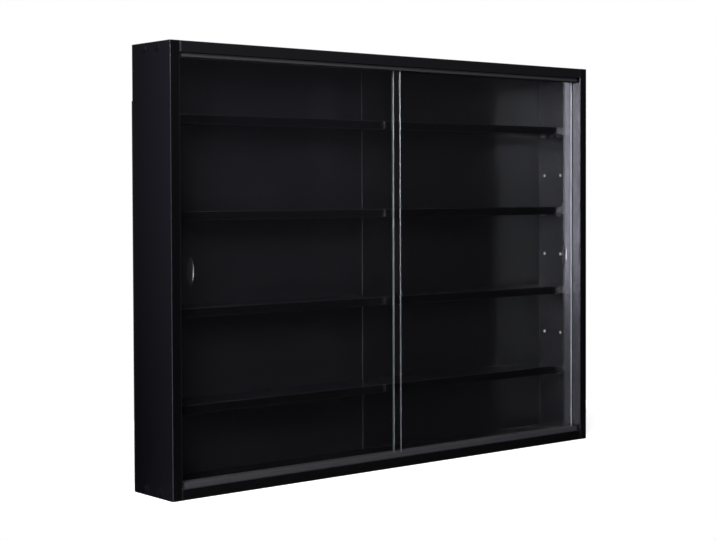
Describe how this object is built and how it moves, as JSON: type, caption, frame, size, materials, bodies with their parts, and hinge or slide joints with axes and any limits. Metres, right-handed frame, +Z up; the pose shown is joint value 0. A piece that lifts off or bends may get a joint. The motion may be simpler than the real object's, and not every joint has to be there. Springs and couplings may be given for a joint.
{
  "type": "trading card display case",
  "caption": "Shallow black case with shelves on pins, a thin back and frameless glass doors that slide past each other in plastic tracks, for cards and small figures.",
  "frame": {"origin": "middle of the footprint, at the height of the bottom board's lower face", "axes": "+X to the right as seen from the front, -Y towards the doors, +Z up"},
  "size_m": [0.8016, 0.095, 0.6],
  "materials": {
    "black_board": "satin black melamine-faced chipboard with banded front edges",
    "black_shelf_board": "gloss black faced chipboard",
    "black_back_sheet": "thin hardboard with a black lacquered face and a brown raw rear",
    "clear_glass": "clear float glass with ground arrises and greenish edges",
    "grey_track_plastic": "dark grey extruded plastic",
    "black_cap_plastic": "moulded black plastic",
    "pin_steel": "nickel-plated steel",
    "zinc_steel": "zinc-plated steel",
    "beech": "unfinished turned beech"
  },
  "bodies": {
    "cabinet": {"left_side_panel": "black_board", "right_side_panel": "black_board", "top_panel": "black_board", "bottom_panel": "black_board", "back_panel_left": "black_back_sheet", "back_panel_right": "black_back_sheet", "shelf_1": "black_shelf_board", "shelf_2": "black_shelf_board", "shelf_3": "black_shelf_board", "shelf_4": "black_shelf_board", "shelf_pins": "pin_steel", "top_track": "grey_track_plastic", "bottom_track": "grey_track_plastic", "carcass_screws": "zinc_steel", "screw_caps": "black_cap_plastic", "carcass_dowels": "beech", "back_panel_nails": "zinc_steel", "top_track_screws": "zinc_steel", "bottom_track_screws": "zinc_steel", "left_hanger_plate": "zinc_steel", "right_hanger_plate": "zinc_steel", "hanger_screws": "zinc_steel"},
    "left_door": {"left_glass_door": "clear_glass"},
    "right_door": {"right_glass_door": "clear_glass"}
  },
  "joints": [
    {"name": "left_door_slide", "type": "slide", "parent": "cabinet", "child": "left_door", "axis": [1, 0, 0], "range_m": [0, 0.38]},
    {"name": "right_door_slide", "type": "slide", "parent": "cabinet", "child": "right_door", "axis": [1, 0, 0], "range_m": [-0.38, 0]}
  ]
}
